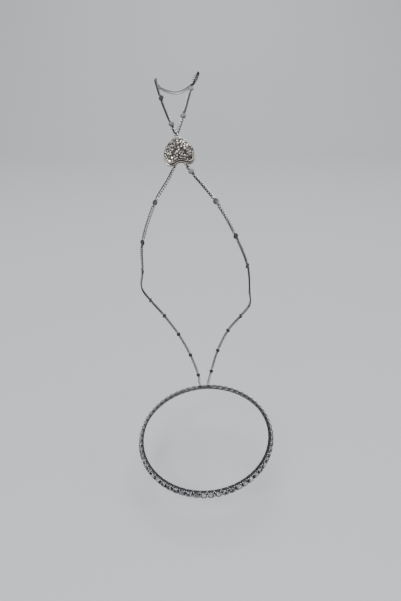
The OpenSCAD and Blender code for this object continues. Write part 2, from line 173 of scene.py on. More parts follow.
class BandSizes(bpy.types.PropertyGroup):
    """Sizes of the wrist band"""
    radius: metres("Radius", "Radius of the band to the middle of its settings", 0.0299)
    cells: IntProperty(name="Settings", description="Number of settings", default=60, min=1)
    pitch: metres("Pitch", "Distance between two settings along the band", 0.003)
    length: metres("Length", "Length of one setting along the band", 0.0027)
    height: metres("Height", "Height of one setting across the band", 0.0026)
    depth: metres("Depth", "Depth of one setting from the wrist to its face", 0.0015)
    tilt: degrees("Tilt", "Angle by which the settings' faces tip up", 25)
    lean: degrees("Lean", "Angle by which the band hangs lower at the front", 10.4)
    roll: degrees("Roll", "Angle by which the band hangs lower on the left", -4.3)
    stone: metres("Stone", "Diameter of a round stone", 0.0023)
    stone_lift: metres("Stone lift", "Height of a stone's girdle above the setting's face", 0.00005)


class Finishes(bpy.types.PropertyGroup):
    """Colours of the metals and stones: bright metals, darker copies of the same metals that are painted
    shade, and the stones' base colours under painted reflections
    """
    # Bright metal of the links' lit flats; the two chain colours after it are darker copies of it, painted
    # shade
    chain: colour("Chain", "Bright flats of the links", (0.62, 0.614, 0.608, 1))
    # Painted shade on the links' sides, on their flats that turn from the light, and on the plates' edges
    # and lugs
    chain_sides_painted_shade: colour(
        "Chain sides", "Dark sides and flats of the links and plates", (0.022, 0.0215, 0.021, 1))
    # Painted shade: the plates' faces and the rings are a dark copy of the chain metal, standing for dark
    # reflections
    plates: colour("Plates", "Faces of the round plates, and the rings", (0.08, 0.079, 0.077, 1))
    band: colour("Band", "Prongs of the settings", (0.70, 0.70, 0.71, 1))
    # Painted shade on the settings' outer walls and on the clasp
    band_walls_painted_shade: colour("Band walls", "Outer walls of the settings, and the clasp", (0.08, 0.08, 0.083, 1))
    # Painted shade on the frames and seats round the band stones
    band_sides_painted_shade: colour("Band sides", "Dark frames and seats round the stones", (0.04, 0.04, 0.043, 1))
    rims: colour("Rims", "Edges of the heart's rims, and its loops", (0.45, 0.41, 0.37, 1))
    # Painted shade on the sides of the heart's rims
    walls: colour("Walls", "Sides of the heart's rims", (0.07, 0.063, 0.056, 1))
    # Darker copy of the rim metal: painted shade on the grains between the stones
    grains: colour("Grains", "Grains between the heart's stones", (0.22, 0.20, 0.18, 1))
    # Painted shade on the bed between the stones and rims, and in the groove between the rims
    bed: colour("Bed", "Darker metal between the heart's stones and rims", (0.02, 0.0175, 0.015, 1))
    # Base colour of the band's stones, under painted reflections by facets
    clear: colour("Clear stones", "Stones of the band", (0.42, 0.43, 0.445, 1))
    # Base colour of the heart's stones, under painted glints by cells
    small: colour("Small stones", "Stones of the heart", (0.96, 0.91, 0.85, 1))


class StageSizes(bpy.types.PropertyGroup):
    """Camera, floor and lights"""
    camera_at: FloatVectorProperty(
        name="Camera", description="Place of the camera", default=(0.009, -0.183, -0.005), size=3,
        subtype="TRANSLATION")
    camera_pitch: degrees("Pitch", "Angle by which the camera looks down", 25)
    camera_view: degrees("View", "Angle of view from the picture's top to its bottom", 67.35)
    floor: metres("Floor", "Height of the floor", -0.1717)
    floor_colour: colour("Floor colour", "Colour of the floor and backdrop", (0.38, 0.39, 0.405, 1))
    light: FloatProperty(name="Light", description="Strength of the soft lights", default=1.0, min=0.0)


class HandChain(bpy.types.PropertyGroup):
    """All settings of the hand chain"""
    heart: PointerProperty(type=HeartSizes)
    chain: PointerProperty(type=ChainSizes)
    band: PointerProperty(type=BandSizes)
    finish: PointerProperty(type=Finishes)
    stage: PointerProperty(type=StageSizes)


# Work on one piece

def select_only(piece):
    bpy.ops.object.select_all(action="DESELECT")
    piece.select_set(True)
    bpy.context.view_layer.objects.active = piece


def named(name):
    """The piece that was just added or joined, under its own name"""
    piece = bpy.context.object
    piece.name = name
    piece.data.name = name
    return piece


def edit(piece):
    select_only(piece)
    bpy.ops.object.mode_set(mode="EDIT")
    bpy.ops.mesh.select_all(action="DESELECT")


def done():
    bpy.ops.object.mode_set(mode="OBJECT")


def pick(piece, kind, test):
    """Selects the vertices, edges or faces that pass a test, in edit mode"""
    bpy.ops.mesh.select_mode(type=kind)
    bpy.ops.mesh.select_all(action="DESELECT")
    shape = bmesh.from_edit_mesh(piece.data)
    items = {"VERT": shape.verts, "EDGE": shape.edges, "FACE": shape.faces}[kind]
    for item in items:
        if test(item):
            item.select_set(True)
    shape.select_flush_mode()
    bmesh.update_edit_mesh(piece.data)


def finish_with(piece, kind, **values):
    """Adds a modifier with these values and applies it"""
    select_only(piece)
    modifier = piece.modifiers.new(kind.title(), kind)
    for key, value in values.items():
        setattr(modifier, key, value)
    bpy.ops.object.modifier_apply(modifier=modifier.name)


def paint(piece, materials, choose):
    """Gives each face the material whose number the choice returns"""
    for material in materials:
        piece.data.materials.append(material)
    for face in piece.data.polygons:
        face.material_index = choose(face)


def smooth(piece, angle):
    """Shades a piece smooth over edges of up to this many degrees"""
    select_only(piece)
    bpy.ops.object.shade_smooth_by_angle(angle=math.radians(angle))


def soften(piece, width, angle):
    """Rounds a piece's edges of more than this many degrees"""
    finish_with(
        piece, "BEVEL", width=width, segments=2, limit_method="ANGLE", angle_limit=math.radians(angle))


def bake_place(piece, place):
    """Brings a piece from its own millimetres to its place in the worn piece, in its mesh"""
    piece.data.transform(TO_METRES @ place)
    piece.data.update()


def joined(pieces, name):
    bpy.context.view_layer.update()
    bpy.ops.object.select_all(action="DESELECT")
    for piece in pieces:
        piece.select_set(True)
    bpy.context.view_layer.objects.active = pieces[0]
    bpy.ops.object.join()
    bpy.ops.object.transform_apply(location=True, rotation=True, scale=True)
    return named(name)


def copies(model, places):
    """One copy of a model, with its own mesh, at each place"""
    made = []
    for place in places:
        copy = model.copy()
        copy.data = model.data.copy()
        copy.matrix_world = place
        bpy.context.collection.objects.link(copy)
        made.append(copy)
    return made


def remove(piece):
    mesh = piece.data
    bpy.data.objects.remove(piece)
    bpy.data.meshes.remove(mesh)


def combine(piece, other, operation="UNION"):
    """Unites a piece with another or cuts the other out of it, and removes the other"""
    finish_with(piece, "BOOLEAN", operation=operation, solver="EXACT", object=other)
    remove(other)


def set_out(model, places, name):
    """One piece of a model's copies at these places, without the model"""
    piece = joined(copies(model, places), name)
    remove(model)
    return piece


def cover(piece, material, *nodes):
    """Finishes a piece that stands for CAD nodes"""
    if not piece.data.materials:
        piece.data.materials.append(material)
    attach(piece, BODY)
    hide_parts(*nodes)


# Places

def heart_place(sizes):
    return (Matrix.Translation(HEART_AT) @ Matrix.Rotation(sizes.lean, 4, "X")
            @ Matrix.Rotation(sizes.turn, 4, "Z"))


def band_place(sizes):
    return (Matrix.Translation(BAND_AT) @ Matrix.Rotation(sizes.roll, 4, "Y")
            @ Matrix.Rotation(sizes.lean, 4, "X"))


def axes_place(at, along, up):
    """Place whose X runs along a line and whose Z is as near as can be to a direction"""
    x = along.normalized()
    y = up.cross(x).normalized()
    z = x.cross(y)
    turn = Matrix((x, y, z)).transposed().to_4x4()
    return Matrix.Translation(at) @ turn


# The heart

OUTLINE_STEPS = 96
STONE_LINE_STEPS = 48
TURN_STEP = math.radians(2)
HALF_ROUND = round(math.pi / TURN_STEP)
TINY = 0.001  # slack in comparisons

# Rows in which stones are tried from the rim inwards, and the grid on which grains are tried
ROW_STEP = 0.05
LAST_ROW = 4.6
GRAIN_STEP = 0.12
GRAIN_ROWS = 42

# How the stones and grains sit on the bed
SLOPE_REACH = 0.6  # millimetres over which the bed's slope is taken
GRAIN_LIFT = 0.00022  # metres from the bed to a grain's middle

# Room for a grain
CLOSE_STONES = 1.35  # pitches within which stones are neighbours
STONE_ROOM = 0.54  # pitches to a stone
GRAIN_ROOM = 2.4  # radii of a grain to the next grain
EDGE_ROOM = 0.05  # share of the outline's size to the bed's edge

# The heart's finishes by number: bright rims, and painted shade on the bed, in the groove between the rims
# and on the walls; and where these lie
RIM, SHADED_BED, SHADED_WALL = range(3)
BED_REACH = BED_SHARE + 0.01  # reaches are shares of the outline's size
BED_LEVEL = 0.8  # levels are shares of the rim's height
BED_PROUD = 0.1  # millimetres over the bed's middle
GROOVE_REACH = 0.95
GROOVE_LEVELS = (0.42, 0.61)
WALL_REACH = (0.96, 1.005)
WALL_TILT = 0.5  # most that a wall's normal rises


def heart_curve(t):
    """Closed curve whose tip points towards +Y"""
    x = 0.91 * math.sin(t) - 0.09 * math.sin(3 * t)
    y = -(13 * math.cos(t) - 2.8 * math.cos(2 * t) - 1.4 * math.cos(3 * t) - 0.5 * math.cos(4 * t))
    return x, y


CURVE_ENDS = [heart_curve(math.tau * i / OUTLINE_STEPS)[1] for i in range(OUTLINE_STEPS)]
CURVE_MIDDLE = (max(CURVE_ENDS) + min(CURVE_ENDS)) / 2
CURVE_HALF = (max(CURVE_ENDS) - min(CURVE_ENDS)) / 2


def outline_at(sizes, t):
    x, y = heart_curve(t)
    return Vector((x * sizes.width, (y - CURVE_MIDDLE) / CURVE_HALF * sizes.height)) * MM / 2


def heart_outline(sizes):
    """Points round the heart in millimetres"""
    return [outline_at(sizes, math.tau * i / OUTLINE_STEPS) for i in range(OUTLINE_STEPS)]


def inset_at(sizes, t, inset):
    """Point inside the outline, at a distance from it"""
    along = (outline_at(sizes, t + TURN_STEP) - outline_at(sizes, t - TURN_STEP)).normalized()
    return outline_at(sizes, t) + inset * Vector((-along.y, along.x))


def share_at(outline, point):
    """Share of the outline's size at which it passes through a point"""
    best = 0.0
    for a, b in zip(outline, outline[1:] + outline[:1]):
        edge = b - a
        size = point.cross(edge) / a.cross(edge)
        if size > TINY ** 2:
            along = (point / size - a).dot(edge) / edge.length_squared
            if -TINY <= along <= 1 + TINY:
                best = max(best, size)
    return best


def bed_height(sizes, size):
    rim = (sizes.rim - sizes.bed_depth) * MM
    return rim + sizes.dome * MM * (1 - (size / BED_SHARE) ** 2)


def first_row(sizes):
    """Places of the stones next to the rim, at even steps"""
    inset = sizes.first_row * MM
    line = [inset_at(sizes, math.tau * i / STONE_LINE_STEPS, inset) for i in range(STONE_LINE_STEPS)]
    marks = [0.0]
    for a, b in zip(line, line[1:] + line[:1]):
        marks.append(marks[-1] + (b - a).length)
    count = 2 * int(marks[-1] / sizes.pitch / MM / 2)
    spots = []
    for i in range(count):
        d = i * marks[-1] / count
        k = max(k for k in range(len(line)) if marks[k] <= d)
        spots.append(line[k].lerp(line[(k + 1) % len(line)], (d - marks[k]) / (marks[k + 1] - marks[k])))
    return spots


def room_at(spot, others, reach):
    return all((spot - other).length > reach for other in others)


def stone_spots(sizes, outline):
    """Places of all small stones: the first row, then mirrored pairs where there is room, row by row"""
    pitch = sizes.pitch * MM
    spots = first_row(sizes)
    rim = outline[::OUTLINE_STEPS // STONE_LINE_STEPS]
    inset = sizes.first_row * MM
    while inset < LAST_ROW:
        for k in range(HALF_ROUND + 1):
            spot = inset_at(sizes, math.pi - k * TURN_STEP, inset)
            middle = spot.x < TINY
            apart = middle or spot.x > pitch / 2
            if apart and room_at(spot, spots, pitch) and room_at(spot, rim, inset - ROW_STEP / 2):
                spots += [Vector((0, spot.y))] if middle else [spot, Vector((-spot.x, spot.y))]
        inset += ROW_STEP
    return spots


def seat_place(sizes, outline, spot, lift):
    """Place on the bed, with Z away from it"""

    def level(dx, dy):
        return bed_height(sizes, share_at(outline, spot + Vector((dx, dy))))

    across = level(-SLOPE_REACH, 0) - level(SLOPE_REACH, 0)
    down = level(0, -SLOPE_REACH) - level(0, SLOPE_REACH)
    out = Vector((across, down, 2 * SLOPE_REACH)).normalized()
    at = Vector((spot.x, spot.y, level(0, 0))) + out * lift * MM
    return axes_place(at, Vector((0, 1, 0)).cross(out), out)


def grain_spots(sizes, outline, spots):
    """Middles of the gaps between three stones, then more spots with room for a grain, row by row"""
    pitch = sizes.pitch * MM
    near = CLOSE_STONES * pitch
    stone_room = STONE_ROOM * pitch
    grain_room = GRAIN_ROOM * sizes.grain * MM
    found = []
    for i, a in enumerate(spots):
        close = [b for b in spots[i + 1:] if (a - b).length < near]
        for k, b in enumerate(close):
            for c in close[k + 1:]:
                middle = (a + b + c) / 3
                if (b - c).length < near and room_at(middle, spots, stone_room):
                    found.append(middle)
    for row in range(-GRAIN_ROWS, GRAIN_ROWS + 1):
        for column in range(-GRAIN_ROWS, GRAIN_ROWS + 1):
            spot = Vector((column, row)) * GRAIN_STEP
            if (room_at(spot, spots, stone_room) and room_at(spot, found, grain_room)
                    and share_at(outline, spot) < BED_SHARE - EDGE_ROOM):
                found.append(spot)
    return found


def loop_at(sizes, loop):
    x, level = loop
    proud = math.copysign(sizes.loop_proud * MM, level)
    return Vector((x, level * sizes.height * MM + proud, sizes.loop_level * MM))


def heart_shell(sizes, outline):
    """Walls, rims and domed bed of the heart, extruded up from its back"""
    bpy.ops.mesh.primitive_circle_add(vertices=OUTLINE_STEPS, radius=1, fill_type="NGON")
    heart = named("heart_setting")
    size, level = HEART_WALLS[0]
    for vertex, point in zip(heart.data.vertices, outline):
        vertex.co = point.to_3d() * size
    edit(heart)
    bpy.ops.mesh.select_all(action="SELECT")
    rim = sizes.rim * MM
    rings = [(wall, height * rim) for wall, height in HEART_WALLS[1:]]
    rings += [(row * BED_SHARE, bed_height(sizes, row * BED_SHARE)) for row in BED_ROWS]
    for next_size, next_level in rings:
        grow = next_size / size
        bpy.ops.mesh.extrude_region_move(TRANSFORM_OT_translate={"value": (0, 0, next_level - level)})
        bpy.ops.transform.resize(value=(grow, grow, 1), center_override=(0, 0, next_level))
        size, level = next_size, next_level
    bpy.ops.mesh.merge(type="CENTER")
    bpy.ops.mesh.select_all(action="SELECT")
    bpy.ops.mesh.normals_make_consistent(inside=False)
    done()
    return heart


def heart_loop(sizes, loop):
    bpy.ops.mesh.primitive_torus_add(
        major_segments=28, minor_segments=10, major_radius=sizes.loop * MM,
        minor_radius=sizes.loop_wire * MM, location=loop_at(sizes, loop))
    made = named("heart_loop")
    select_only(made)
    bpy.ops.object.transform_apply(location=True)
    return made


class HANDCHAIN_OT_heart_setting(bpy.types.Operator):
    """Models the heart with its rims, bed and three loops"""
    bl_idname = "handchain.heart_setting"
    bl_label = "Heart Setting"
    bl_options = {"REGISTER", "UNDO"}

    def execute(self, context):
        tool = context.scene.hand_chain
        sizes = tool.heart
        outline = heart_outline(sizes)
        heart = heart_shell(sizes, outline)
        for loop in (TIP_LOOP, LEFT_LOOP, RIGHT_LOOP):
            combine(heart, heart_loop(sizes, loop))
        top = bed_height(sizes, 0)
        rim = sizes.rim * MM

        # Painted shade: the bed, the groove between the rims and the rims' walls get dark copies of the rim
        # metal
        def region(face):
            level = face.center.z / rim
            corners = [share_at(outline, heart.data.vertices[v].co.xy) for v in face.vertices]
            near, far = min(corners), max(corners)
            on_bed = far < BED_REACH and level > BED_LEVEL and face.center.z < top + BED_PROUD
            in_groove = near < GROOVE_REACH and far < 1 and GROOVE_LEVELS[0] < level < GROOVE_LEVELS[1]
            on_wall = near > WALL_REACH[0] and far < WALL_REACH[1] and abs(face.normal.z) < WALL_TILT
            if on_bed or in_groove:
                return SHADED_BED
            return SHADED_WALL if on_wall else RIM

        paint(heart, [polished_metal("heart_rims", tool.finish.rims),
                      polished_metal("heart_bed_painted_shade", tool.finish.bed, BED_SATIN),
                      polished_metal("heart_walls_painted_shade", tool.finish.walls)], region)
        smooth(heart, 35)
        bake_place(heart, heart_place(sizes))
        cover(heart, None, "heart_body")
        return {"FINISHED"}


# Cuts of the stones, as rings of corners: how many, their radius and their level as shares of the stone's
# radius, and their turn. The small stone has a table, crown facets and a shallow back, and the round one has
# a table, star, kite and girdle facets and a pointed back
HALF_FACET = math.tau / 16
SMALL_CUT = ((8, 1, 0, 0), (8, 0.55, 0.52, HALF_FACET), (8, 1, 0.08, 0), (4, 0.3, -0.7, 0))
ROUND_CUT = (
    (16, 1, 0, 0), (16, 1, 0.05, 0), (8, 0.78, 0.25, 0), (8, 0.55, 0.36, HALF_FACET), (8, 0.42, -0.5, 0),
    (4, 0.04, -0.84, 0))


def brilliant(size, cut, name):
    """One stone, closed over the rings of its cut"""
    radius = size * MM / 2

    def ring(count, width, level, turn):
        bpy.ops.mesh.primitive_circle_add(
            vertices=count, radius=width * radius, location=(0, 0, level * radius), rotation=(0, 0, turn))

    ring(*cut[0])
    stone = named(name)
    edit(stone)
    for row in cut[1:]:
        ring(*row)
    bpy.ops.mesh.select_all(action="SELECT")
    bpy.ops.mesh.convex_hull()
    bpy.ops.mesh.normals_make_consistent(inside=False)
    done()
    return stone


class HANDCHAIN_OT_heart_stones(bpy.types.Operator):
    """Sets the small stones and the grains in the heart's bed"""
    bl_idname = "handchain.heart_stones"
    bl_label = "Heart Stones"
    bl_options = {"REGISTER", "UNDO"}

    def execute(self, context):
        tool = context.scene.hand_chain
        sizes = tool.heart
        outline = heart_outline(sizes)
        spots = stone_spots(sizes, outline)
        place = heart_place(sizes)
        seats = [seat_place(sizes, outline, spot, sizes.stone_lift) for spot in spots]
        stones = set_out(brilliant(sizes.stone, SMALL_CUT, "small_stone"), seats, "heart_small_stones")
        bake_place(stones, place)
        cover(stones, cut_stone("small_stone", tool.finish.small, painted_cell_glints, CELLS), "heart_stones")
        bpy.ops.mesh.primitive_uv_sphere_add(segments=8, ring_count=6, radius=sizes.grain * MM)
        gaps = [seat_place(sizes, outline, spot, GRAIN_LIFT) for spot in grain_spots(sizes, outline, spots)]
        grains = set_out(named("grain"), gaps, "heart_grains_painted_shade")
        smooth(grains, 60)
        bake_place(grains, place)
        # The grains get a darker copy of the rim metal, as painted shade between the stones
        grains.data.materials.append(polished_metal("heart_grains_painted_shade", tool.finish.grains))
        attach(grains, BODY)
        return {"FINISHED"}


# The chains

def place_on(route, i):
    return Vector(route[max(0, min(len(route) - 1, i))][:3])


def slope_on(route, i):
    back = place_on(route, i) - place_on(route, i - 1)
    ahead = place_on(route, i + 1) - place_on(route, i)
    return (back + ahead) / (back.length + ahead.length)


def curve_at(route, u):
    """Point of the smooth curve through a route's places"""
    i = min(int(u), len(route) - 2)
    f = u - i
    a, b = place_on(route, i), place_on(route, i + 1)
    bend = (1 - f) * slope_on(route, i) - f * slope_on(route, i + 1)
    return a.lerp(b, f * f * (3 - 2 * f)) + (b - a).length * f * (1 - f) * bend


def facing_at(route, u):
    i = min(int(u), len(route) - 2)
    return Vector(route[i][3:6]).normalized().lerp(Vector(route[i + 1][3:6]).normalized(), u - i)


# Steps in which a strand is measured between two rows of its route
STEPS_PER_ROW = 60


class Strand:
    """A route measured along its length"""

    def __init__(self, route):
        self.route = route
        count = (len(route) - 1) * STEPS_PER_ROW
        self.places = [curve_at(route, k / STEPS_PER_ROW) for k in range(count + 1)]
        self.marks = [0.0]
        for a, b in zip(self.places, self.places[1:]):
            self.marks.append(self.marks[-1] + (b - a).length)

    def length_to(self, row):
        return self.marks[row * STEPS_PER_ROW]

    def point(self, d):
        k = self.step(d)
        return self.places[k].lerp(self.places[k + 1], self.part(d, k))

    def step(self, d):
        low, high = 0, len(self.marks) - 2
        while low < high:
            middle = (low + high + 1) // 2
            if self.marks[middle] <= d:
                low = middle
            else:
                high = middle - 1
        return low

    def part(self, d, k):
        return (d - self.marks[k]) / (self.marks[k + 1] - self.marks[k])

    def place(self, d, reach, stretch):
        """Place of a piece that reaches this far along the strand on both sides of a distance"""
        k = self.step(d)
        along = self.point(d + reach) - self.point(d - reach)
        up = facing_at(self.route, (k + self.part(d, k)) / STEPS_PER_ROW)
        at = (self.point(d + reach) + self.point(d - reach)) / 2
        return axes_place(at, along, up) @ Matrix.Diagonal((stretch, 1, 1, 1))


def end_row(at, row):
    return tuple(at) + tuple(row[3:6]) + (0,)


def whole_route(start, route, end):
    return [end_row(start, route[0])] + route + [end_row(end, route[-1])]


def pulled_end(tool, loop, pull, hook=0):
    """End of a chain in a jump ring of the heart: the way it pulls, and its turn round the ring"""
    pull, hook = math.radians(pull), math.radians(hook)
    out = Vector((math.cos(pull), math.sin(pull), 0))
    reach = tool.chain.ring * MM * (out + math.cos(hook) * out + Vector((0, 0, math.sin(hook))))
    return heart_place(tool.heart) @ (loop_at(tool.heart, loop) + reach)


def cell_turn(sizes):
    return sizes.pitch / sizes.radius


def clasp_turn(sizes):
    return math.tau - sizes.cells * cell_turn(sizes)


# Axes of a setting: X along the band, Y up and Z away from the wrist
CELL_AXES = Matrix(((0, 0, 1, 0), (1, 0, 0, 0), (0, 1, 0, 0), (0, 0, 0, 1)))


def cell_place(sizes, angle):
    """Place of one setting, at an angle round the band"""
    back = (sizes.radius - sizes.depth / 2) * MM
    return (band_place(sizes) @ Matrix.Rotation(angle, 4, "Z") @ Matrix.Translation((back, 0, 0))
            @ CELL_AXES @ Matrix.Rotation(-sizes.tilt, 4, "X"))


# The side chains' rings on the clasp: turn from its middle, and how far they hang off its face
CLASP_LOOP_TURN = math.radians(4)
CLASP_HOOK = math.radians(25)


def clasp_end(tool, side):
    """End of a side chain in its ring on the clasp: side is 1 to the left, -1 to the right"""
    sizes = tool.band
    angle = math.radians(90) + side * CLASP_LOOP_TURN
    on_cell = cell_place(sizes, angle) @ Vector((0, sizes.height * MM / 2, sizes.depth * MM / 2))
    ring = tool.chain.ring * MM
    reach = Vector((0, math.sin(CLASP_HOOK), math.cos(CLASP_HOOK) + 1)) * ring
    reach.z += tool.heart.loop_proud * MM
    return on_cell + band_place(sizes).to_3x3() @ reach


# The chains' finishes by number: the bright metal on the lit flats, and painted shade on the links' other
# faces, the plates' edges and the plates' faces
LIT_FLATS, SHADED_SIDES, SHADED_PLATES = range(3)

# Links
END_SHARE = 0.2  # share of a link's half width at which its round ends begin
FLAT_SHARE = 0.2  # share of the half thickness from which its faces can keep the bright metal instead of painted shade
RING_ROOM = 0.1  # millimetres from a ring's wire to a link's
LUG_ROOM = 0.04  # millimetres from a lug's middle to a link's wire

# Round plates
LUG_OUT = 0.6  # radii of a lug from the plate's edge to the lug's middle
LUG_TURN = math.radians(50)
PLATE_RIM = 0.12  # radii of the plate
PLATE_SWELL = 1.12  # thickness of the middle to that of the edge
PLATE_BEVEL = 0.08  # millimetres
PLATE_FACE = 0.8  # least that the normal of its faces rises


def chain_metals():
    """Metals of the chains, in the order of their numbers: the bright metal, and two darker copies of it
    that are painted shade
    """
    finish = bpy.context.scene.hand_chain.finish
    return [polished_metal("link_lit_flats", finish.chain),
            polished_metal("chain_sides_painted_shade", finish.chain_sides_painted_shade, SIDE_SATIN),
            polished_metal("plate_painted_shade", finish.plates)]


def link_half(sizes):
    """Half length of a link to the middle of its wire"""
    return (sizes.pitch + 2 * sizes.wire + sizes.slack) * MM / 2


def oval_link(sizes):
    """One oval link lying flat"""
    half_width = (sizes.width / 2 - sizes.wire) * MM
    bpy.ops.mesh.primitive_torus_add(
        major_segments=12, minor_segments=6, major_radius=half_width, minor_radius=sizes.wire * MM)
    link = named("oval_link")
    stretch = link_half(sizes) - half_width
    edit(link)
    bend = END_SHARE * half_width
    for side in (-1, 1):
        pick(link, "VERT", lambda v: side * v.co.x > bend)
        bpy.ops.transform.translate(value=(side * stretch, 0, 0))
    done()
    smooth(link, 50)
    return link


def curb_link(sizes, twist, turn=0):
    """One oval link, twisted along its length, turned about it and ground flat on both faces"""
    link = oval_link(sizes)
    finish_with(link, "SIMPLE_DEFORM", deform_method="TWIST", deform_axis="X", angle=twist)
    link.data.transform(Matrix.Rotation(turn, 4, "X"))
    flat = sizes.flat * MM
    for vertex in link.data.vertices:
        vertex.co.z = max(-flat, min(flat, vertex.co.z))

    # Painted light and shade: outward flats on the link's +X half keep the bright metal as if lit from that
    # side, and all its other faces get painted shade
    def tone(face):
        outward = face.normal.z * face.center.z > FLAT_SHARE * flat
        return LIT_FLATS if outward and face.center.x > 0 else SHADED_SIDES

    paint(link, chain_metals(), tone)
    smooth(link, 50)
    return link


def end_reach(sizes):
    """Distance from a ring's wire to the middle of the link that hangs in it"""
    return link_half(sizes) - (sizes.ring_wire + sizes.wire) * MM - RING_ROOM


def lug_centre(sizes):
    return (sizes.plate / 2 + LUG_OUT * sizes.lug) * MM


def plate_reach(sizes):
    """Distance from a plate's middle to the middle of the link that holds its lug"""
    return lug_centre(sizes) + LUG_ROOM + link_half(sizes)


def round_plate(sizes):
    """Flat round plate with a soft edge and a lug on both sides"""
    radius = sizes.plate * MM / 2
    edge = sizes.plate_edge * MM
    bpy.ops.mesh.primitive_cylinder_add(vertices=32, radius=radius, depth=edge)
    plate = named("round_plate")
    edit(plate)
    pick(plate, "FACE", lambda f: abs(f.normal.z) > PLATE_FACE)
    bpy.ops.mesh.inset(thickness=PLATE_RIM * radius, depth=0)
    bpy.ops.transform.resize(value=(1, 1, PLATE_SWELL), center_override=(0, 0, 0))
    done()
    soften(plate, PLATE_BEVEL, 40)
    for side in (-1, 1):
        bpy.ops.mesh.primitive_torus_add(
            major_segments=16, minor_segments=6, major_radius=sizes.lug * MM,
            minor_radius=sizes.lug_wire * MM, location=(side * lug_centre(sizes), 0, 0),
            rotation=(side * LUG_TURN, 0, 0))
        lug = named("lug")
        select_only(lug)
        bpy.ops.object.transform_apply(location=True, rotation=True)
        combine(plate, lug)
    # Painted shade: the plate's edges and lugs get the darkest copy of the metal, and its faces a dark one
    paint(plate, chain_metals(), lambda face: SHADED_SIDES if abs(face.normal.z) < PLATE_FACE else SHADED_PLATES)
    smooth(plate, 40)
    return plate


def linked_chain(tool, route, name):
    """Plates at their rows, plain links in the rings at both ends, and even curb links between them"""
    sizes = tool.chain
    strand = Strand(route)
    reach = sizes.pitch * MM / 2
    marks = [strand.length_to(i) for i, row in enumerate(route) if row[6] == 1]
    stops = [(0.0, end_reach(sizes))]
    stops += [(mark, plate_reach(sizes)) for mark in marks]
    stops += [(strand.length_to(len(route) - 1), end_reach(sizes))]
    places = []
    for (start, before), (end, after) in zip(stops, stops[1:]):
        first, last = start + before, end - after
        steps = round((last - first) / (sizes.pitch * MM))
        if steps:
            pitch = (last - first) / steps
            stretch = pitch / (sizes.pitch * MM)
            places += [strand.place(first + k * pitch, reach, stretch) for k in range(steps + 1)]
        else:
            places.append(strand.place((first + last) / 2, reach, 1))
    half = sizes.twist / 2
    link = curb_link(sizes, sizes.twist)
    first_link = curb_link(sizes, half, half / 4)
    last_link = curb_link(sizes, half, -half / 4)
    plate = round_plate(sizes)
    made = copies(link, places[1:-1]) + copies(first_link, places[:1]) + copies(last_link, places[-1:])
    made += copies(plate, [strand.place(mark, lug_centre(sizes), 1) for mark in marks])
    chain = joined(made, name)
    for model in (link, first_link, last_link, plate):
        remove(model)
    bake_place(chain, Matrix.Identity(4))
    return chain


class HANDCHAIN_OT_finger_chain(bpy.types.Operator):
    """Links the chain from the heart's tip round the finger and back"""
    bl_idname = "handchain.finger_chain"
    bl_label = "Finger Chain"
    bl_options = {"REGISTER", "UNDO"}

    def execute(self, context):
        tool = context.scene.hand_chain
        start, end = [pulled_end(tool, TIP_LOOP, TIP_PULL, hook) for hook in TIP_HOOKS]
        route = whole_route(start, FINGER_ROUTE, end)
        cover(linked_chain(tool, route, "finger_chain_links"), None, "finger_chain")
        return {"FINISHED"}


class HANDCHAIN_OT_side_chains(bpy.types.Operator):
    """Links the two chains from the heart's lobes to the clasp"""
    bl_idname = "handchain.side_chains"
    bl_label = "Side Chains"
    bl_options = {"REGISTER", "UNDO"}

    def execute(self, context):
        tool = context.scene.hand_chain
        for side, loop, pull, rows, turn in (
                ("left", LEFT_LOOP, LEFT_PULL, LEFT_ROUTE, 1),
                ("right", RIGHT_LOOP, RIGHT_PULL, RIGHT_ROUTE, -1)):
            route = whole_route(pulled_end(tool, loop, pull), rows, clasp_end(tool, turn))
            cover(linked_chain(tool, route, f"side_chain_{side}_links"), None, f"side_chain_{side}")
        return {"FINISHED"}


def refinish(node, material):
    """Gives a CAD node another material"""
    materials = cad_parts[node].data.materials
    materials.clear()
    materials.append(material)


class HANDCHAIN_OT_rings(bpy.types.Operator):
    """Finishes the jump rings and the clasp, whose shapes the frame has, in dark painted shade"""
    bl_idname = "handchain.rings"
    bl_label = "Rings and Clasp"
    bl_options = {"REGISTER", "UNDO"}

    def execute(self, context):
        # The jump rings get the plates' dark painted shade
        ring_painted_shade = chain_metals()[SHADED_PLATES]
        for node in ("tip_ring", "lobe_ring_left", "lobe_ring_right", "clasp_ring_left", "clasp_ring_right"):
            refinish(node, ring_painted_shade)
        # The clasp gets the painted shade of the settings' outer walls
        refinish("band_clasp", band_metals()[SHADED_WALLS])
        return {"FINISHED"}


# The wrist band

# The band's finishes by number: the bright prongs, and painted shade on the frames, seats and outer walls;
# and where prongs and outer walls begin, in millimetres
PRONGS, SHADED_FRAMES, SHADED_WALLS = range(3)
PRONG_START = 0.02  # over the setting's face
WALL_SKIN = 0.05  # within its upper and lower side

# One box setting, in millimetres
SEAT_RADII = (0.62, 1.06)
SEAT_HEIGHT = 0.9
SEAT_DEPTH = 0.4  # from the face to the seat's middle
SETTING_BEVEL = 0.07
PRONG = 0.24
PRONG_INSET = 0.27  # from the sides to a prong's middle
PRONG_RISE = 0.1
PRONG_FLATTENING = 0.85  # share of a prong's radius
TONGUE = (0.8, 0.9, 0.3)
TONGUE_OUT = 0.2  # from the setting's end to the tongue's middle
TONGUE_LEVEL = 0.3


def band_metals():
    """Metals of the band, in the order of their numbers: the bright prong metal and two darker copies of it
    that are painted shade
    """
    finish = bpy.context.scene.hand_chain.finish
    return [polished_metal("prong_metal", finish.band),
            polished_metal("band_sides_painted_shade", finish.band_sides_painted_shade, SIDE_SATIN),
            polished_metal("band_walls_painted_shade", finish.band_walls_painted_shade)]


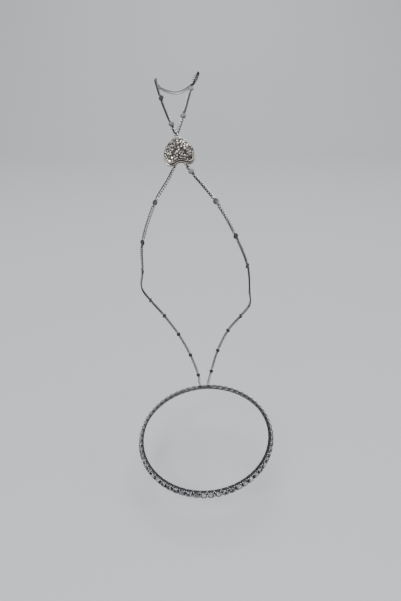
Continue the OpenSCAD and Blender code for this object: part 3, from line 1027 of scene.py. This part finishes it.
def box_setting(sizes):
    """One square setting with a round seat, four corner prongs and a tongue to the next"""
    length, height, depth = sizes.length * MM, sizes.height * MM, sizes.depth * MM
    bpy.ops.mesh.primitive_cube_add(size=1, location=(0, 0, depth / 2), scale=(length, height, depth))
    setting = named("box_setting")
    select_only(setting)
    bpy.ops.object.transform_apply(location=True, scale=True)
    bpy.ops.mesh.primitive_cone_add(
        vertices=24, radius1=SEAT_RADII[0], radius2=SEAT_RADII[1], depth=SEAT_HEIGHT,
        location=(0, 0, depth - SEAT_DEPTH))
    combine(setting, named("seat"), "DIFFERENCE")
    soften(setting, SETTING_BEVEL, 50)
    parts = []
    for x in (-1, 1):
        for y in (-1, 1):
            corner = (x * (length / 2 - PRONG_INSET), y * (height / 2 - PRONG_INSET), depth + PRONG_RISE)
            bpy.ops.mesh.primitive_uv_sphere_add(
                segments=10, ring_count=6, radius=PRONG, location=corner, scale=(1, 1, PRONG_FLATTENING))
            parts.append(named("prong"))
    bpy.ops.mesh.primitive_cube_add(
        size=1, location=(length / 2 + TONGUE_OUT, 0, TONGUE_LEVEL), scale=TONGUE)
    parts.append(named("tongue"))
    for part in parts:
        select_only(part)
        bpy.ops.object.transform_apply(location=True, scale=True)
        combine(setting, part)

    # Painted shade: the frames, seats and outer walls get dark copies of the prong metal, and the prongs
    # keep the bright metal
    def tone(face):
        if face.center.z > depth + PRONG_START:
            return PRONGS
        return SHADED_WALLS if abs(face.center.y) > height / 2 - WALL_SKIN else SHADED_FRAMES

    paint(setting, band_metals(), tone)
    smooth(setting, 35)
    return setting


def cell_places(sizes):
    first = math.radians(90) + clasp_turn(sizes) / 2
    return [cell_place(sizes, first + (i + 0.5) * cell_turn(sizes)) for i in range(sizes.cells)]


class HANDCHAIN_OT_band_settings(bpy.types.Operator):
    """Models one box setting and copies it round the wrist"""
    bl_idname = "handchain.band_settings"
    bl_label = "Band Settings"
    bl_options = {"REGISTER", "UNDO"}

    def execute(self, context):
        sizes = context.scene.hand_chain.band
        band = set_out(box_setting(sizes), cell_places(sizes), "band_box_settings")
        bake_place(band, Matrix.Identity(4))
        cover(band, None, "band_settings")
        return {"FINISHED"}


class HANDCHAIN_OT_band_stones(bpy.types.Operator):
    """Cuts one round stone and sets a copy in each box setting"""
    bl_idname = "handchain.band_stones"
    bl_label = "Band Stones"
    bl_options = {"REGISTER", "UNDO"}

    def execute(self, context):
        tool = context.scene.hand_chain
        sizes = tool.band
        lift = Matrix.Translation((0, 0, (sizes.depth + sizes.stone_lift) * MM))
        places = [place @ lift for place in cell_places(sizes)]
        stones = set_out(brilliant(sizes.stone, ROUND_CUT, "round_stone"), places, "band_round_stones")
        bake_place(stones, Matrix.Identity(4))
        # Painted reflections on the stones' facets, by the way each faces
        paint_facet_glints(stones)
        cover(stones, cut_stone("clear_stone", tool.finish.clear, painted_facet_glints), "band_stones")
        return {"FINISHED"}


# Finishes

# Roughness of the metals
SATIN = 0.32
SIDE_SATIN = 0.34
BED_SATIN = 0.4

# Patterns to the metre: clouds and scratches of the metals, cells of painted glints and dark reflections in
# the small stones, clouds of the floor
CLOUDS = 900
SCRATCHES = 7000
CELLS = 2600
FLOOR_CLOUDS = 3

# Painted reflections that the facets of the band stones carry, as tones
PAINTED_FACET_GLINTS = "painted_facet_glint"
FACET_SPREAD = 23  # how fast they change with the way that a facet faces
MIDDLE_TONE = 0.55
TONE_SWING = 0.4


def new_material(name):
    """A new material with its node tree and its shader"""
    material = bpy.data.materials.new(name)
    material.use_nodes = True
    tree = material.node_tree
    return material, tree, tree.nodes["Principled BSDF"]


def clouding(tree, scale, detail=2):
    """Soft noise on the piece's own place, so many clouds to the metre"""
    place = tree.nodes.new("ShaderNodeTexCoord")
    cloud = tree.nodes.new("ShaderNodeTexNoise")
    cloud.inputs["Scale"].default_value = scale
    cloud.inputs["Detail"].default_value = detail
    tree.links.new(place.outputs["Object"], cloud.inputs["Vector"])
    return cloud.outputs["Fac"]


def tint_by(tree, shader, tone, base, dark, start=0.0, end=1.0):
    """Colours a shader from a dark share of the base to the full base, between two values of a tone"""
    ramp = tree.nodes.new("ShaderNodeValToRGB")
    low, high = ramp.color_ramp.elements
    low.position = start
    low.color = [c * dark for c in base[:3]] + [1]
    high.position = end
    high.color = base
    tree.links.new(tone, ramp.inputs["Fac"])
    tree.links.new(ramp.outputs["Color"], shader.inputs["Base Color"])


def polished_metal(name, base, roughness=SATIN):
    """Bright metal with faint clouding, fine scratches and a slightly uneven surface"""
    if name in bpy.data.materials:
        return bpy.data.materials[name]
    material, tree, shader = new_material(name)
    shader.inputs["Metallic"].default_value = 1.0
    cloud = clouding(tree, CLOUDS, detail=3)
    tint_by(tree, shader, cloud, base, dark=0.86, start=0.3, end=0.7)
    dull = tree.nodes.new("ShaderNodeMapRange")
    dull.inputs["To Min"].default_value = roughness * 0.9
    dull.inputs["To Max"].default_value = roughness * 1.15
    tree.links.new(cloud, dull.inputs["Value"])
    tree.links.new(dull.outputs["Result"], shader.inputs["Roughness"])
    bump = tree.nodes.new("ShaderNodeBump")
    bump.inputs["Strength"].default_value = 0.15
    bump.inputs["Distance"].default_value = 0.00001
    tree.links.new(clouding(tree, SCRATCHES, detail=4), bump.inputs["Height"])
    tree.links.new(bump.outputs["Normal"], shader.inputs["Normal"])
    return material


def painted_cell_glints(tree, count):
    """Painted glints and dark reflections: tones of small cells, so many to the metre"""
    place = tree.nodes.new("ShaderNodeTexCoord")
    flash = tree.nodes.new("ShaderNodeTexVoronoi")
    flash.inputs["Scale"].default_value = count
    tree.links.new(place.outputs["Object"], flash.inputs["Vector"])
    return flash.outputs["Color"]


def painted_facet_glints(tree):
    """Painted reflections that the stones' own facets carry"""
    tone = tree.nodes.new("ShaderNodeAttribute")
    tone.attribute_name = PAINTED_FACET_GLINTS
    return tone.outputs["Fac"]


def paint_facet_glints(stones):
    """Paints each facet a reflection tone that follows the way it faces"""
    tones = stones.data.attributes.new(PAINTED_FACET_GLINTS, "FLOAT", "FACE")
    for face, tone in zip(stones.data.polygons, tones.data):
        tone.value = MIDDLE_TONE + TONE_SWING * noise.cell(face.normal * FACET_SPREAD)


def cut_stone(name, base, painted_glints, *values):
    """Cut stone on a bright foil, with painted light and dark reflections by cells or by facets"""
    material, tree, shader = new_material(name)
    shader.inputs["Metallic"].default_value = 0.5
    shader.inputs["Transmission Weight"].default_value = 0.3
    shader.inputs["IOR"].default_value = 1.9
    shader.inputs["Roughness"].default_value = 0.04
    tint_by(tree, shader, painted_glints(tree, *values), base, dark=0.03, start=0.36, end=0.75)
    return material


def floor_finish(base):
    """Matt paper with hardly visible clouds"""
    material, tree, shader = new_material("studio_paper")
    tint_by(tree, shader, clouding(tree, FLOOR_CLOUDS), base, dark=0.97)
    shader.inputs["Roughness"].default_value = 0.55
    return material


# The stage

# Floor and backdrop, in metres
FLOOR_SIZE = 6
FLOOR_AHEAD = 1  # from the piece forward to the floor's middle
BACKDROP = 3
BEND = 0.9
EDGE_SLACK = 0.01

# Soft lights: name, place, aim, width and height in metres, and power in watts
MIDDLE = (0.01, -0.02, -0.08)
SOFTBOXES = (
    ("top_softbox", (0.1, 0.6, 1.6), (0, 0.6, -0.17), (1.6, 1.2), 30),
    ("key_softbox", (-0.35, -0.75, 0.75), MIDDLE, (0.4, 0.3), 7),
    ("left_softbox", (-1.0, -0.2, 0.2), MIDDLE, (0.2, 0.8), 1),
    ("right_softbox", (0.9, -0.5, 0.45), MIDDLE, (0.3, 0.3), 4))
AIR_COLOUR = (1.0, 1.01, 1.03, 1)


def studio_sweep(stage):
    """Floor that turns up softly into a backdrop far behind the piece"""
    bpy.ops.mesh.primitive_plane_add(size=FLOOR_SIZE, location=(0, -FLOOR_AHEAD, stage.floor))
    sweep = named("studio_sweep")
    select_only(sweep)
    bpy.ops.object.transform_apply(location=True)
    edit(sweep)
    back = FLOOR_SIZE / 2 - FLOOR_AHEAD - EDGE_SLACK
    pick(sweep, "EDGE", lambda e: min(v.co.y for v in e.verts) > back)
    bpy.ops.mesh.extrude_region_move(TRANSFORM_OT_translate={"value": (0, 0, BACKDROP)})
    pick(sweep, "EDGE", lambda e: min(v.co.y for v in e.verts) > back
         and max(v.co.z for v in e.verts) < stage.floor + EDGE_SLACK)
    bpy.ops.mesh.bevel(offset=BEND, segments=16, affect="EDGES")
    done()
    smooth(sweep, 60)
    sweep.data.materials.append(floor_finish(stage.floor_colour))


def soft_light(name, at, aim, size, power):
    bpy.ops.object.light_add(type="AREA", location=at)
    lamp = bpy.context.object
    lamp.name = name
    lamp.data.name = name
    lamp.data.shape = "RECTANGLE"
    lamp.data.size, lamp.data.size_y = size
    lamp.data.energy = power
    lamp.rotation_euler = (Vector(aim) - Vector(at)).to_track_quat("-Z", "Y").to_euler()


class HANDCHAIN_OT_stage(bpy.types.Operator):
    """Adds the floor, the soft lights and the camera"""
    bl_idname = "handchain.stage"
    bl_label = "Stage"
    bl_options = {"REGISTER", "UNDO"}

    def execute(self, context):
        stage = context.scene.hand_chain.stage
        bpy.ops.object.camera_add(
            location=stage.camera_at, rotation=(math.radians(90) - stage.camera_pitch, 0, 0))
        camera = bpy.context.object
        camera.data.sensor_fit = "VERTICAL"
        camera.data.angle_y = stage.camera_view
        camera.data.clip_start = 0.01
        context.scene.camera = camera
        studio_sweep(stage)
        for name, at, aim, size, power in SOFTBOXES:
            soft_light(name, at, aim, size, power * stage.light)
        world = bpy.data.worlds.new("studio_air")
        world.use_nodes = True
        air = world.node_tree.nodes["Background"]
        air.inputs["Color"].default_value = AIR_COLOUR
        air.inputs["Strength"].default_value = 1.0
        context.scene.world = world
        return {"FINISHED"}


class HANDCHAIN_PT_panel(bpy.types.Panel):
    """Lists the pieces of the hand chain in the order in which they are made"""
    bl_label = "Hand Chain"
    bl_idname = "HANDCHAIN_PT_panel"
    bl_space_type = "VIEW_3D"
    bl_region_type = "UI"
    bl_category = "Hand Chain"

    def draw(self, context):
        for operator in OPERATORS:
            self.layout.operator(operator.bl_idname)


OPERATORS = (
    HANDCHAIN_OT_heart_setting, HANDCHAIN_OT_heart_stones, HANDCHAIN_OT_finger_chain,
    HANDCHAIN_OT_side_chains, HANDCHAIN_OT_rings, HANDCHAIN_OT_band_settings, HANDCHAIN_OT_band_stones,
    HANDCHAIN_OT_stage)
GROUPS = (HeartSizes, ChainSizes, BandSizes, Finishes, StageSizes, HandChain)
CLASSES = GROUPS + OPERATORS + (HANDCHAIN_PT_panel,)


def register():
    for item in CLASSES:
        bpy.utils.register_class(item)
    bpy.types.Scene.hand_chain = PointerProperty(type=HandChain)


def unregister():
    del bpy.types.Scene.hand_chain
    for item in reversed(CLASSES):
        bpy.utils.unregister_class(item)


def main():
    register()
    bpy.ops.handchain.heart_setting()
    bpy.ops.handchain.heart_stones()
    bpy.ops.handchain.finger_chain()
    bpy.ops.handchain.side_chains()
    bpy.ops.handchain.rings()
    bpy.ops.handchain.band_settings()
    bpy.ops.handchain.band_stones()
    bpy.ops.handchain.stage()


if __name__ == "__main__":
    main()
